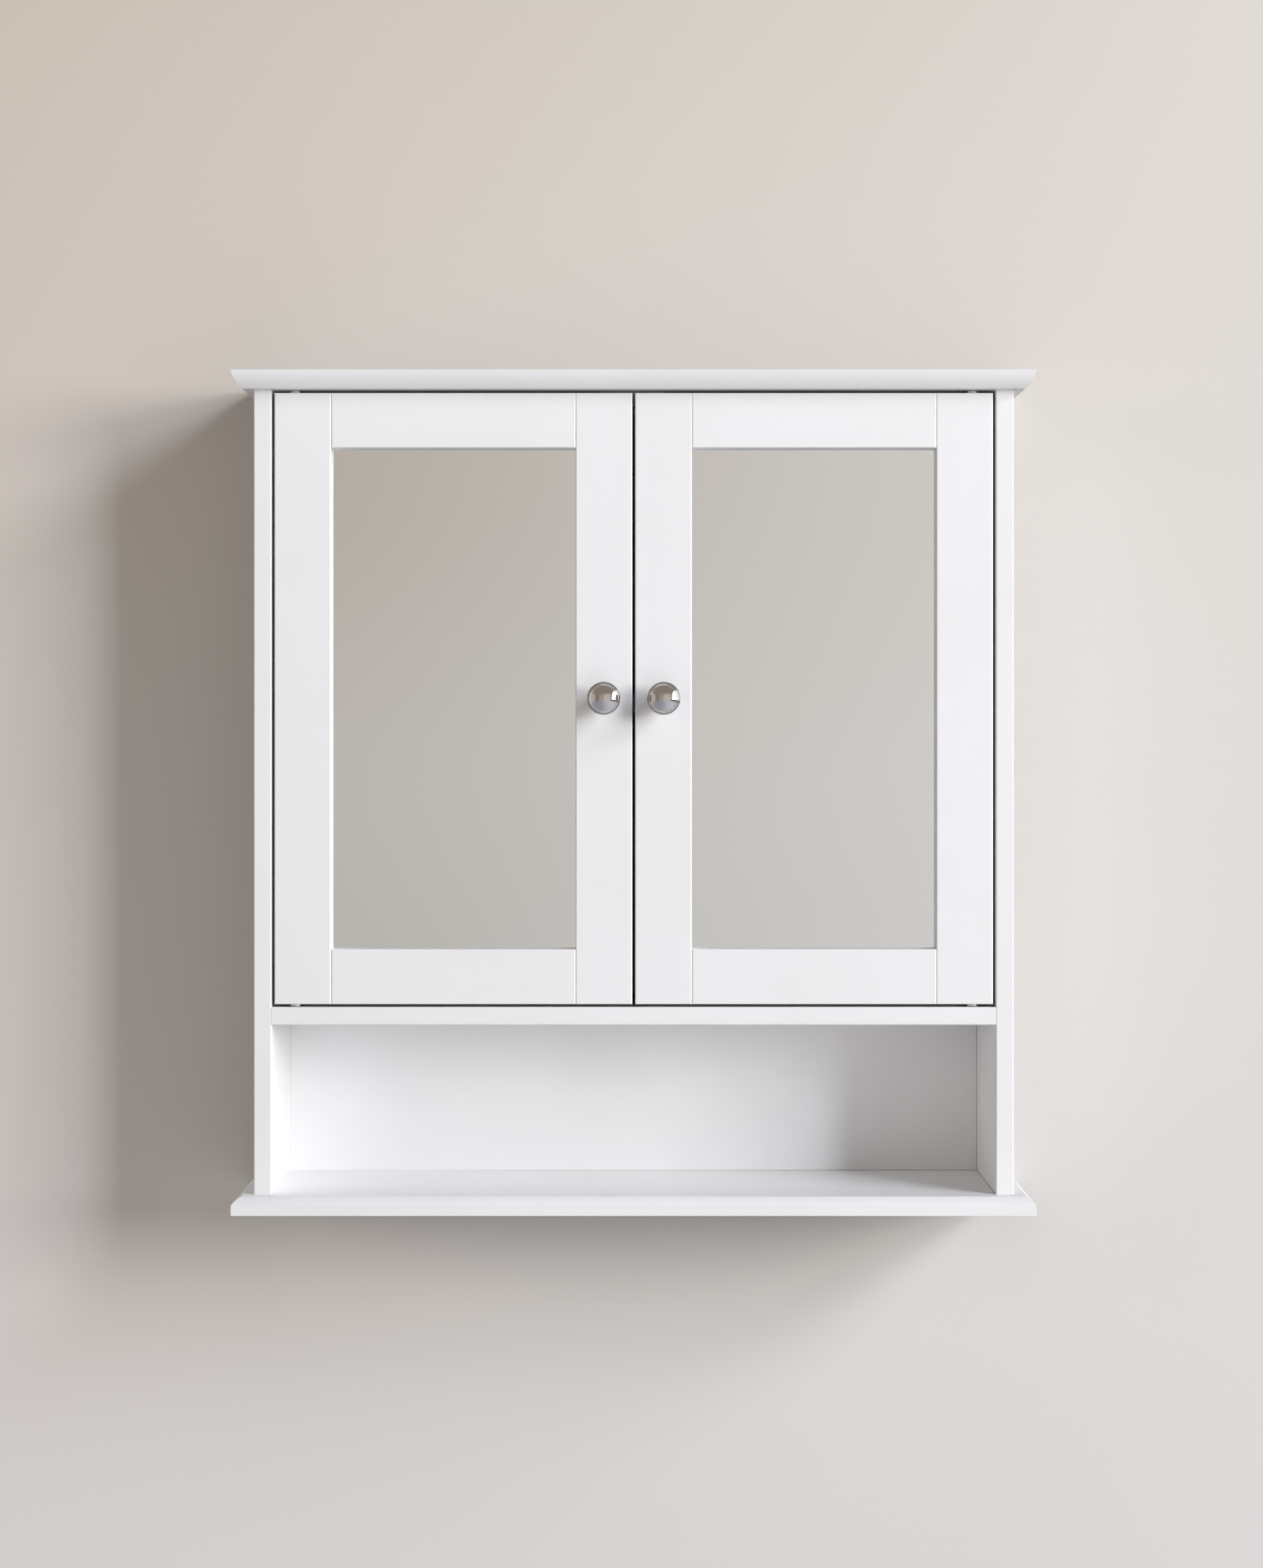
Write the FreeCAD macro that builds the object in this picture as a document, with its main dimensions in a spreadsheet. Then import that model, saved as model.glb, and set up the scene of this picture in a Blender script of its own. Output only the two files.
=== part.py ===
import FreeCAD, Part
import os
import re
import Sketcher

# Wall-hung bathroom cabinet with two mirror doors over an open shelf.
# X runs to the viewer's right, Y into the wall and Z up. The origin lies on the wall,
# midway between the two holes that the cabinet hangs by.

# Driving sizes in millimetres
SIZES = {
    # Carcass
    "cabinet_width": 560.0,
    "cabinet_height": 588.0,
    "cabinet_depth": 130.0,
    "board_thickness": 12.5,
    "side_overhang": 14.0,
    "front_overhang": 15.0,
    "open_shelf_height": 118.5,
    "edge_easing": 1.0,
    # Rounded edges of the top and the bottom panel
    "top_edge_inset": 6.8,
    "top_edge_radius": 22.0,
    "bottom_edge_inset": 6.3,
    "bottom_edge_height": 5.5,
    "bottom_edge_radius": 16.0,
    # Back panel and the rail that hangs on the wall
    "back_thickness": 3.0,
    "back_rebate": 6.0,
    "back_screw_spacing": 150.0,
    "rail_height": 50.0,
    "rail_screw_spacing": 240.0,
    "rail_dowel_spacing": 24.0,
    "wall_hole_spacing": 400.0,
    "wall_hole_diameter": 5.0,
    # Loose shelf behind the doors
    "inner_shelf_thickness": 12.0,
    "inner_shelf_setback": 30.0,
    "inner_shelf_back_gap": 1.0,
    "shelf_end_play": 0.3,
    "pin_diameter": 5.0,
    "pin_grip": 8.0,
    "pin_reach": 8.0,
    "pin_collar_diameter": 8.0,
    "pin_collar_thickness": 1.2,
    "pin_inset": 18.0,
    "pin_first_height": 140.0,
    "pin_pitch": 32.0,
    "pin_rows": 5,
    # Doors
    "door_gap": 2.0,
    "door_thickness": 15.0,
    "stile_width": 39.7,
    "rail_width": 38.6,
    "mirror_setback": 9.0,
    "mirror_thickness": 3.0,
    "mirror_lap": 6.0,
    "mirror_slack": 0.4,
    "door_dowel_length": 36.0,
    "door_dowel_first": 12.0,
    "door_dowel_spacing": 13.0,
    # Pivots
    "pivot_inset": 14.0,
    "pivot_diameter": 5.0,
    "pivot_grip": 16.0,
    "pivot_end_room": 1.0,
    "pivot_flange_diameter": 8.5,
    "pivot_clearance": 0.4,
    "bush_diameter": 8.0,
    "bush_depth": 9.0,
    "running_fit": 0.05,
    # Knob
    "knob_diameter": 23.0,
    "knob_base_diameter": 13.0,
    "knob_base_height": 2.0,
    "knob_neck_diameter": 9.0,
    "knob_neck_height": 8.0,
    "knob_back_height": 8.5,
    "knob_back_radius": 8.7,
    "knob_rim_height": 1.0,
    "knob_rim_width": 1.2,
    "knob_rim_fall": 2.1,
    "knob_rim_rounding": 2.4,
    "knob_dome_rise": 5.4,
    "knob_screw_diameter": 4.0,
    "knob_screw_reach": 10.0,
    "knob_screw_room": 1.0,
    "knob_screw_head": 8.0,
    "knob_screw_head_height": 2.6,
    # Magnetic catch
    "catch_width": 46.0,
    "catch_depth": 14.0,
    "catch_height": 10.0,
    "catch_clearance": 0.4,
    "catch_screw_inset": 4.0,
    "catch_screw_bite": 8.0,
    "magnet_spacing": 20.0,
    "magnet_width": 10.0,
    "magnet_height": 5.0,
    "magnet_depth": 8.0,
    "strike_width": 14.0,
    "strike_height": 10.0,
    "strike_thickness": 1.0,
    "strike_margin": 1.0,
    # Clips that hold the mirror
    "clip_length": 22.0,
    "clip_width": 10.0,
    "clip_thickness": 1.2,
    "clip_lap": 7.0,
    # Dowels and screws
    "dowel_diameter": 6.0,
    "dowel_length": 24.0,
    "dowel_bite": 8.0,
    "joint_inset": 25.0,
    "carcass_screw_diameter": 4.0,
    "carcass_screw_length": 40.0,
    "carcass_screw_head": 8.0,
    "small_screw_diameter": 2.5,
    "small_screw_length": 10.0,
    "small_screw_head": 5.0,
    "back_screw_length": 14.0,
    "fixing_slack": 0.05,
}

# Places worked out from the driving sizes
PLACES = {
    "half_width": "cabinet_width / 2",
    "body_half": "half_width - side_overhang",
    "inner_half": "body_half - board_thickness",
    "side_middle": "body_half - board_thickness / 2",
    "rebate_half": "inner_half + back_rebate",
    "body_depth": "cabinet_depth - front_overhang",
    "front_joint_y": "joint_inset - body_depth",
    "back_joint_y": "0 - joint_inset",
    "middle_joint_y": "(front_joint_y + back_joint_y) / 2",
    "top_under": "rail_height / 2",
    "top_z": "top_under + board_thickness",
    "floor_z": "top_z - cabinet_height",
    "bottom_z": "floor_z + board_thickness",
    "shelf_under": "bottom_z + open_shelf_height",
    "shelf_top": "shelf_under + board_thickness",
    "shelf_middle": "shelf_under + board_thickness / 2",
    "rail_front": "0 - back_thickness - board_thickness",
    "rail_middle": "0 - back_thickness - board_thickness / 2",
    "rail_under": "top_under - rail_height",
    "inner_shelf_front": "inner_shelf_setback - body_depth",
    "inner_shelf_back": "0 - back_thickness - inner_shelf_back_gap",
    "pin_front_y": "inner_shelf_front + pin_inset",
    "pin_back_y": "inner_shelf_back - pin_inset",
    "pin_first_z": "shelf_top + pin_first_height",
    "shelf_end_gap": "pin_collar_thickness + shelf_end_play",
    "door_left": "door_gap - inner_half",
    "door_right": "0 - door_gap / 2",
    "door_bottom": "shelf_top + door_gap",
    "door_top": "top_under - door_gap",
    "door_middle": "(door_bottom + door_top) / 2",
    "door_height": "door_top - door_bottom",
    "door_front": "0 - body_depth",
    "door_back": "door_front + door_thickness",
    "door_core": "door_front + door_thickness / 2",
    "opening_left": "door_left + stile_width",
    "opening_right": "door_right - stile_width",
    "opening_bottom": "door_bottom + rail_width",
    "opening_top": "door_top - rail_width",
    "recess_left": "opening_left - mirror_lap",
    "recess_right": "opening_right + mirror_lap",
    "recess_bottom": "opening_bottom - mirror_lap",
    "recess_top": "opening_top + mirror_lap",
    "mirror_front": "door_front + mirror_setback",
    "mirror_back": "mirror_front + mirror_thickness",
    "pivot_x": "door_left + pivot_inset",
    "flange_thickness": "door_gap - pivot_clearance",
    "pivot_reach": "door_gap + bush_depth - pivot_end_room",
    "knob_x": "door_right - stile_width / 2",
    "knob_rim_low": "knob_neck_height + knob_back_height",
    "knob_rim_top": "knob_rim_low + knob_rim_height",
    "knob_crease": "knob_rim_top + knob_rim_fall",
    "knob_projection": "knob_crease + knob_dome_rise",
    "knob_dome_half": "knob_diameter / 2 - knob_rim_width",
    "knob_dome_radius": "(knob_dome_half * knob_dome_half / knob_dome_rise + knob_dome_rise) / 2",
    "knob_hole_half": "knob_screw_diameter / 2 + fixing_slack",
    "knob_hole_depth": "knob_screw_reach + knob_screw_room",
    "strike_back": "door_back + strike_thickness",
    "strike_top": "door_top - strike_margin",
    "catch_front": "strike_back + catch_clearance",
    "catch_under": "top_under - catch_height",
    "catch_middle": "top_under - catch_height / 2",
    "catch_screw_offset": "catch_width / 2 - catch_screw_inset",
    "catch_screw_length": "catch_height + catch_screw_bite",
    "clip_back": "door_back + clip_thickness",
}

LEFT = (-1, 0, 0)
RIGHT = (1, 0, 0)
FORWARD = (0, -1, 0)
UP = (0, 0, 1)
DOWN = (0, 0, -1)
NO_SLACK = "0"
CARCASS_SCREW = ("carcass_screw_diameter", "carcass_screw_length", "carcass_screw_head")
SMALL_SCREW = ("small_screw_diameter", "small_screw_length", "small_screw_head")
BACK_SCREW = ("small_screw_diameter", "back_screw_length", "small_screw_head")
CATCH_SCREW = ("small_screw_diameter", "catch_screw_length", "small_screw_head")
NAME = re.compile("[a-z][a-z_]+")

doc = FreeCAD.newDocument("mirror_cabinet")
sheet = doc.addObject("Spreadsheet::Sheet", "sizes")
pieces = []


# Sheet of sizes
def fill_sheet():
    """Put every driving size and every place worked out from them into the sheet."""
    entries = [(name, str(number)) for name, number in SIZES.items()]
    entries += [(name, "=" + rule) for name, rule in PLACES.items()]
    for row, (name, text) in enumerate(entries, 1):
        sheet.set("A%d" % row, name)
        sheet.set("B%d" % row, text)
        sheet.setAlias("B%d" % row, name)
    doc.recompute()


def is_size(word):
    """Say whether a word names a size or a place in the sheet."""
    return word in SIZES or word in PLACES


def spelled(rule):
    """Return a rule with each size led by the name of its sheet."""
    return NAME.sub(lambda found: "sizes." + found.group() if is_size(found.group()) else found.group(), rule)


def worth(rule):
    """Return the number that a rule gives at the present sizes."""
    numbers = NAME.sub(lambda found: "(%r)" % float(sheet.get(found.group())), rule)
    return FreeCAD.Units.Quantity(numbers).Value


def bind(item, **rules):
    """Tie properties of an object to rules."""
    for name, rule in rules.items():
        item.setExpression(name, spelled(rule))


def place(item, at):
    """Tie an object's position to three rules."""
    for axis, rule in zip("xyz", at):
        item.setExpression("Placement.Base." + axis, spelled(rule))


def moved(at, direction, rule):
    """Return a point carried along one of the main directions."""
    point = []
    for start, sign in zip(at, direction):
        if sign > 0:
            start = "%s + (%s)" % (start, rule)
        if sign < 0:
            start = "%s - (%s)" % (start, rule)
        point.append(start)
    return tuple(point)


# Plain solids
def box(name, low, high):
    """Return a block between two corners."""
    block = doc.addObject("Part::Box", name)
    for side, start, end in zip(("Length", "Width", "Height"), low, high):
        block.setExpression(side, spelled("(%s) - (%s)" % (end, start)))
    place(block, low)
    return block


def block_about(name, centre, spans):
    """Return a block with a given centre and three spans."""
    low = tuple("%s - (%s) / 2" % pair for pair in zip(centre, spans))
    high = tuple("%s + (%s) / 2" % pair for pair in zip(centre, spans))
    return box(name, low, high)


def turned(direction):
    """Return the placement that points an upright solid along a direction."""
    rotation = FreeCAD.Rotation(FreeCAD.Vector(*UP), FreeCAD.Vector(*direction))
    return FreeCAD.Placement(FreeCAD.Vector(), rotation)


def rod(name, at, direction, diameter, length):
    """Return a cylinder that starts at a point and runs along a direction."""
    cylinder = doc.addObject("Part::Cylinder", name)
    cylinder.Placement = turned(direction)
    bind(cylinder, Radius="(%s) / 2" % diameter, Height=length)
    place(cylinder, at)
    return cylinder


def group(label, items):
    """Return separate solids as one object."""
    compound = doc.addObject("Part::Compound", label)
    compound.Links = items
    return compound


def fused(label, first, second):
    """Return two solids as one."""
    union = doc.addObject("Part::Fuse", label)
    union.Base = first
    union.Tool = second
    return union


def cut(label, base, tools):
    """Return a solid with all the tools taken out of it."""
    rest = doc.addObject("Part::Cut", label)
    rest.Base = base
    rest.Tool = group(label + "_cuts", tools)
    return rest


def mirrored(label, source):
    """Return the right-hand twin of a left-hand object."""
    twin = doc.addObject("Part::Mirroring", label)
    twin.Source = source
    twin.Normal = FreeCAD.Vector(*RIGHT)
    return twin


def both_hands(label, source):
    """Return an object together with its right-hand twin."""
    return group(label, [source, mirrored(label + "_twin", source)])


def piece(item):
    """List a finished sub-part."""
    pieces.append(item)
    return item


# Fasteners
def screw(at, direction, kind, slack=NO_SLACK):
    """Return a countersunk screw, its head flush at the point, or its hole where slack is given."""
    diameter, length, head = kind
    depth = "(%s - %s) / 2" % (head, diameter)
    cone = doc.addObject("Part::Cone", "screw_head")
    cone.Placement = turned(direction)
    bind(cone, Radius1="%s / 2 + %s" % (head, slack), Radius2="%s / 2 + %s" % (diameter, slack), Height=depth)
    place(cone, at)
    shank = rod("screw_shank", at, direction, "%s + 2 * %s" % (diameter, slack), "%s + %s" % (length, slack))
    body = fused("screw", cone, shank)
    if slack != NO_SLACK:
        return body
    return cut("driven_screw", body, [cross(at, direction, head)])


def cross(at, direction, head):
    """Return the cross that a screwdriver fits, centred on the face of a head."""
    long_span = "%s / 2" % head
    short_span = "%s / 8" % head
    deep_span = "%s / 3" % head
    spans = {DOWN: (long_span, short_span, deep_span), FORWARD: (long_span, deep_span, short_span)}
    spans[UP] = spans[DOWN]
    first = spans[direction]
    second = tuple({long_span: short_span, short_span: long_span}.get(span, span) for span in first)
    return fused("drive", block_about("slot", at, first), block_about("slot", at, second))


def dowel(at, direction, slack=NO_SLACK):
    """Return a dowel across a joint at the point, its longer end along the direction, or its hole."""
    start = moved(at, direction, "0 - dowel_bite - %s" % slack)
    return rod("dowel", start, direction, "dowel_diameter + 2 * %s" % slack, "dowel_length + 2 * %s" % slack)


def screws_and_holes(spots, direction, kind):
    """Return a row of screws and the row of holes for them."""
    screws = [screw(spot, direction, kind) for spot in spots]
    holes = [screw(spot, direction, kind, "fixing_slack") for spot in spots]
    return screws, holes


def dowels_and_holes(spots, direction):
    """Return a row of dowels and the row of holes for them."""
    dowels = [dowel(spot, direction) for spot in spots]
    holes = [dowel(spot, direction, "fixing_slack") for spot in spots]
    return dowels, holes


# Sketched solids
def plane_of(body, role):
    """Return one of a body's own origin planes."""
    for feature in body.Origin.OriginFeatures:
        if feature.Role == role:
            return feature
    raise RuntimeError("no plane " + role)


def arc_between(start, end, radius, hollow):
    """Return the short arc between two points, swelling to the right of its chord or to the left if hollow."""
    middle = (start + end) / 2
    chord = end - start
    rise = radius - (radius ** 2 - (chord.Length / 2) ** 2) ** 0.5
    outward = FreeCAD.Vector(chord.y, -chord.x, 0).normalize()
    if hollow:
        outward = outward * -1
    return Part.Arc(start, middle + outward * rise, end)


def outline(body, name, role, corners, arcs=None, hollows=()):
    """Return a closed sketch through corners in anticlockwise order.

    arcs gives the radius of each side that is round, by the number of its first corner.
    hollows lists the round sides that curve into the shape.
    """
    arcs = arcs or {}
    sketch = body.newObject("Sketcher::SketchObject", name)
    sketch.AttachmentSupport = [(plane_of(body, role), "")]
    sketch.MapMode = "FlatFace"
    points = [FreeCAD.Vector(worth(across), worth(up), 0) for across, up in corners]
    count = len(points)
    for side, start in enumerate(points):
        end = points[(side + 1) % count]
        if side in arcs:
            sketch.addGeometry(arc_between(start, end, worth(arcs[side]), side in hollows))
        else:
            sketch.addGeometry(Part.LineSegment(start, end))
    for side in range(count):
        after = (side + 1) % count
        last_end = 1 if side in hollows else 2
        next_start = 2 if after in hollows else 1
        sketch.addConstraint(Sketcher.Constraint("Coincident", side, last_end, after, next_start))
    for side, corner in enumerate(corners):
        start = 2 if side in hollows else 1
        for kind, axis, rule, value in zip(("DistanceX", "DistanceY"), (-2, -1), corner, points[side]):
            if rule == "0":
                sketch.addConstraint(Sketcher.Constraint("PointOnObject", side, start, axis))
                continue
            number = sketch.addConstraint(Sketcher.Constraint(kind, -1, 1, side, start, value))
            label = "corner_%d_%s" % (side, kind)
            sketch.renameConstraint(number, label)
            sketch.setExpression("Constraints." + label, spelled(rule))
    for side, rule in arcs.items():
        number = sketch.addConstraint(Sketcher.Constraint("Radius", side, worth(rule)))
        label = "radius_%d" % side
        sketch.renameConstraint(number, label)
        sketch.setExpression("Constraints." + label, spelled(rule))
    return sketch


def new_body(name):
    """Return an empty body."""
    return doc.addObject("PartDesign::Body", name)


def pad(body, sketch, rule, both_ways=False, backwards=False):
    """Raise a sketch into a solid."""
    feature = body.newObject("PartDesign::Pad", body.Name + "_pad")
    feature.Profile = sketch
    feature.Reversed = backwards
    if both_ways:
        feature.SideType = "Symmetric"
    bind(feature, Length=rule)
    doc.recompute()
    return feature


def pocket_through(body, sketch):
    """Cut a sketch right through a body both ways and make sure that it cut something."""
    before = body.Shape.Volume
    feature = body.newObject("PartDesign::Pocket", body.Name + "_pocket")
    feature.Profile = sketch
    feature.SideType = "Symmetric"
    feature.Type = "ThroughAll"
    doc.recompute()
    if body.Shape.Volume >= before:
        raise RuntimeError(body.Name + " was not cut")
    return feature


def ease_front(body, feature):
    """Round the edges of the face that looks forward."""
    faces = enumerate(feature.Shape.Faces, 1)
    front = min(faces, key=lambda entry: entry[1].CenterOfMass.y)[0]
    fillet = body.newObject("PartDesign::Fillet", body.Name + "_easing")
    fillet.Base = (feature, ["Face%d" % front])
    bind(fillet, Radius="edge_easing")
    doc.recompute()
    return fillet


# Carcass fasteners
def joint_spots(x, z):
    """Return the places of the two screws at a corner of the carcass."""
    return [(x, "front_joint_y", z), (x, "back_joint_y", z)]


def corner_fixings():
    """Return the screws and dowels at the left ends of the top and bottom panels, with their holes."""
    x = "0 - side_middle"
    top_screws, top_holes = screws_and_holes(joint_spots(x, "top_z"), DOWN, CARCASS_SCREW)
    bottom_screws, bottom_holes = screws_and_holes(joint_spots(x, "floor_z"), UP, CARCASS_SCREW)
    top_dowels, top_sockets = dowels_and_holes([(x, "middle_joint_y", "top_under")], DOWN)
    bottom_dowels, bottom_sockets = dowels_and_holes([(x, "middle_joint_y", "bottom_z")], UP)
    return {
        "top_screws": group("left_top_screws", top_screws),
        "bottom_screws": group("left_bottom_screws", bottom_screws),
        "dowels": group("left_corner_dowels", top_dowels + bottom_dowels),
        "top_holes": group("left_top_holes", top_holes + top_sockets),
        "bottom_holes": group("left_bottom_holes", bottom_holes + bottom_sockets),
    }


def end_fixings():
    """Return the dowels at the left ends of the middle shelf and of the hanging rail, with their holes."""
    x = "0 - inner_half"
    shelf_spots = [(x, "front_joint_y", "shelf_middle"), (x, "back_joint_y", "shelf_middle")]
    rail_spots = [(x, "rail_middle", "%d * rail_dowel_spacing / 2" % step) for step in (1, -1)]
    shelf_dowels, shelf_holes = dowels_and_holes(shelf_spots, RIGHT)
    rail_dowels, rail_holes = dowels_and_holes(rail_spots, RIGHT)
    return {
        "shelf_dowels": group("left_shelf_dowels", shelf_dowels),
        "rail_dowels": group("left_rail_dowels", rail_dowels),
        "shelf_holes": group("left_shelf_holes", shelf_holes),
        "rail_holes": group("left_rail_holes", rail_holes),
    }


def back_fixings():
    """Return the screws round the back panel and the holes for them."""
    spots = []
    for share in (1, 3, 5, 7):
        height = "bottom_z + (top_under - bottom_z) * %d / 8" % share
        spots.append(("inner_half + back_rebate / 2", "0", height))
        spots.append(("0 - inner_half - back_rebate / 2", "0", height))
    for height in ("top_under + back_rebate / 2", "bottom_z - back_rebate / 2", "shelf_middle"):
        for step in (-1, 0, 1):
            spots.append(("%d * back_screw_spacing" % step, "0", height))
    return screws_and_holes(spots, FORWARD, BACK_SCREW)


def rail_fixings():
    """Return the two screws through the top panel into the hanging rail and the holes for them."""
    spots = [("%d * rail_screw_spacing / 2" % step, "rail_middle", "top_z") for step in (-1, 1)]
    return screws_and_holes(spots, DOWN, CARCASS_SCREW)


def catch_fixings():
    """Return the two screws that hold the catch up and the holes for them."""
    y = "catch_front + catch_depth / 2"
    spots = [("%d * catch_screw_offset" % step, y, "catch_under") for step in (-1, 1)]
    return screws_and_holes(spots, UP, CATCH_SCREW)


def bush_sockets():
    """Return the left door's bush sockets, the upper one in the top panel and the lower in the shelf."""
    upper = rod("bush_socket", ("pivot_x", "door_core", "top_under"), UP, "bush_diameter", "bush_depth")
    lower = rod("bush_socket", ("pivot_x", "door_core", "shelf_top"), DOWN, "bush_diameter", "bush_depth")
    return upper, lower


# Carcass boards
def top_panel(cuts):
    """Top: an overhanging board whose front and ends curve in towards the underside."""
    body = new_body("top_blank")
    corners = [
        ("top_edge_inset - half_width", "top_under"),
        ("half_width - top_edge_inset", "top_under"),
        ("half_width", "top_z"),
        ("0 - half_width", "top_z"),
    ]
    ends = {1: "top_edge_radius", 3: "top_edge_radius"}
    pad(body, outline(body, "top_ends", "XZ_Plane", corners, ends), "cabinet_depth")
    front = [
        ("0 - cabinet_depth", "top_z"),
        ("0 - cabinet_depth", "top_under"),
        ("top_edge_inset - cabinet_depth", "top_under"),
    ]
    sketch = outline(body, "top_front", "YZ_Plane", front, {2: "top_edge_radius"}, hollows=(2,))
    pocket_through(body, sketch)
    return piece(cut("top_panel", body, cuts))


def bottom_panel(cuts):
    """Bottom: an overhanging board with an upright edge that rounds over to the upper face."""
    body = new_body("bottom_blank")
    shoulder = "bottom_z - bottom_edge_height"
    corners = [
        ("0 - half_width", "floor_z"),
        ("half_width", "floor_z"),
        ("half_width", shoulder),
        ("half_width - bottom_edge_inset", "bottom_z"),
        ("bottom_edge_inset - half_width", "bottom_z"),
        ("0 - half_width", shoulder),
    ]
    ends = {2: "bottom_edge_radius", 4: "bottom_edge_radius"}
    pad(body, outline(body, "bottom_ends", "XZ_Plane", corners, ends), "cabinet_depth")
    front = [
        ("bottom_edge_inset - cabinet_depth", "bottom_z"),
        ("0 - cabinet_depth", "bottom_z"),
        ("0 - cabinet_depth", shoulder),
    ]
    sketch = outline(body, "bottom_front", "YZ_Plane", front, {2: "bottom_edge_radius"}, hollows=(2,))
    pocket_through(body, sketch)
    return piece(cut("bottom_panel", body, cuts))


def left_side_panel(cuts):
    """Side: an upright board with both front edges eased."""
    body = new_body("side_blank")
    corners = [
        ("edge_easing - body_half", "0 - body_depth"),
        ("0 - inner_half - edge_easing", "0 - body_depth"),
        ("0 - inner_half", "edge_easing - body_depth"),
        ("0 - inner_half", "0"),
        ("0 - body_half", "0"),
        ("0 - body_half", "edge_easing - body_depth"),
    ]
    sketch = outline(body, "side_section", "XY_Plane", corners, {1: "edge_easing", 5: "edge_easing"})
    pad(body, sketch, "top_under - bottom_z")
    place(body, ("0", "0", "bottom_z"))
    return piece(cut("left_side_panel", body, cuts))


def middle_shelf(cuts):
    """Fixed shelf under the doors, with both front edges eased."""
    body = new_body("shelf_blank")
    corners = [
        ("0 - back_thickness", "shelf_under"),
        ("0 - back_thickness", "shelf_top"),
        ("edge_easing - body_depth", "shelf_top"),
        ("0 - body_depth", "shelf_top - edge_easing"),
        ("0 - body_depth", "shelf_under + edge_easing"),
        ("edge_easing - body_depth", "shelf_under"),
    ]
    sketch = outline(body, "shelf_section", "YZ_Plane", corners, {2: "edge_easing", 4: "edge_easing"})
    pad(body, sketch, "2 * inner_half", both_ways=True)
    return piece(cut("middle_shelf", body, cuts))


def back_block(name, slack):
    """Return the thin board that closes the back, or the rebate that it lies in."""
    low = ("0 - rebate_half - %s" % slack, "0 - back_thickness", "bottom_z - back_rebate - %s" % slack)
    high = ("rebate_half + %s" % slack, "0", "top_under + back_rebate + %s" % slack)
    return box(name, low, high)


def wall_holes():
    """Return the drills for the two wall screws, through the rail and the back panel."""
    length = "back_thickness + board_thickness"
    spots = [("%d * wall_hole_spacing / 2" % step, "0", "0") for step in (-1, 1)]
    return [rod("wall_hole", spot, FORWARD, "wall_hole_diameter", length) for spot in spots]


def hanging_rail(cuts):
    """Rail under the top panel, in front of the back, that the cabinet hangs by."""
    low = ("0 - inner_half", "rail_front", "rail_under")
    high = ("inner_half", "0 - back_thickness", "top_under")
    return piece(cut("hanging_rail", box("rail_blank", low, high), cuts))


# Loose shelf and its pins
def pin_row_height(row):
    """Return the height of a row of pin holes above the first."""
    return "pin_first_z + %d * pin_pitch" % row


def pin_holes():
    """Return the drills for the rows of pin holes in the left side panel."""
    holes = []
    width = "pin_diameter + 2 * fixing_slack"
    for row in range(int(SIZES["pin_rows"])):
        for depth in ("pin_front_y", "pin_back_y"):
            spot = ("0 - inner_half", depth, pin_row_height(row))
            holes.append(rod("pin_hole", spot, LEFT, width, "pin_grip + fixing_slack"))
    return holes


def shelf_pins(height):
    """Four collared pins that carry the loose shelf."""
    pins = []
    for depth in ("pin_front_y", "pin_back_y"):
        face = ("0 - inner_half", depth, height)
        start = moved(face, LEFT, "pin_grip")
        stem = rod("pin_stem", start, RIGHT, "pin_diameter", "pin_grip + pin_reach")
        collar = rod("pin_collar", face, RIGHT, "pin_collar_diameter", "pin_collar_thickness")
        pins.append(fused("pin", stem, collar))
    return piece(both_hands("shelf_pins", group("left_pins", pins)))


def inner_shelf(height):
    """Loose shelf that lies on the pins, clear of the doors' inner corners."""
    underside = "%s + pin_diameter / 2" % height
    low = ("shelf_end_gap - inner_half", "inner_shelf_front", underside)
    high = ("inner_half - shelf_end_gap", "inner_shelf_back", "%s + inner_shelf_thickness" % underside)
    return piece(box("inner_shelf", low, high))


# Catch
def catch(holes):
    """Double magnetic catch: a housing under the top panel with a magnet for each door."""
    low = ("0 - catch_width / 2", "catch_front", "catch_under")
    high = ("catch_width / 2", "catch_front + catch_depth", "top_under")
    centre = ("0 - magnet_spacing / 2", "catch_front + magnet_depth / 2", "catch_middle")
    spans = ("magnet_width", "magnet_depth", "magnet_height")
    magnets = both_hands("catch_magnets", block_about("left_magnet", centre, spans))
    piece(cut("catch_body", box("catch_blank", low, high), [magnets] + holes))
    piece(magnets)


# Pivots
def pivot_bushes():
    """Four plain bushes that the doors' pivots turn in."""
    bushes = []
    for height, direction in (("top_under", UP), ("shelf_top", DOWN)):
        at = ("pivot_x", "door_core", height)
        outside = rod("bush_outside", at, direction, "bush_diameter", "bush_depth")
        bore = rod("bush_bore", at, direction, "pivot_diameter + 2 * running_fit", "bush_depth")
        bushes.append(cut("bush", outside, [bore]))
    return piece(both_hands("pivot_bushes", group("left_bushes", bushes)))


def pivot_pins():
    """Upper and lower pivot of the left door, each with a flange in the gap, and their holes."""
    pins = []
    holes = []
    for height, direction in (("door_top", UP), ("door_bottom", DOWN)):
        at = ("pivot_x", "door_core", height)
        start = moved(at, direction, "0 - pivot_grip")
        stem = rod("pivot_stem", start, direction, "pivot_diameter", "pivot_grip + pivot_reach")
        flange = rod("pivot_flange", at, direction, "pivot_flange_diameter", "flange_thickness")
        pins.append(fused("pivot", stem, flange))
        holes.append(rod("pivot_hole", start, direction, "pivot_diameter", "pivot_grip"))
    piece(group("left_door_pivot_pins", pins))
    return holes


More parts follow.
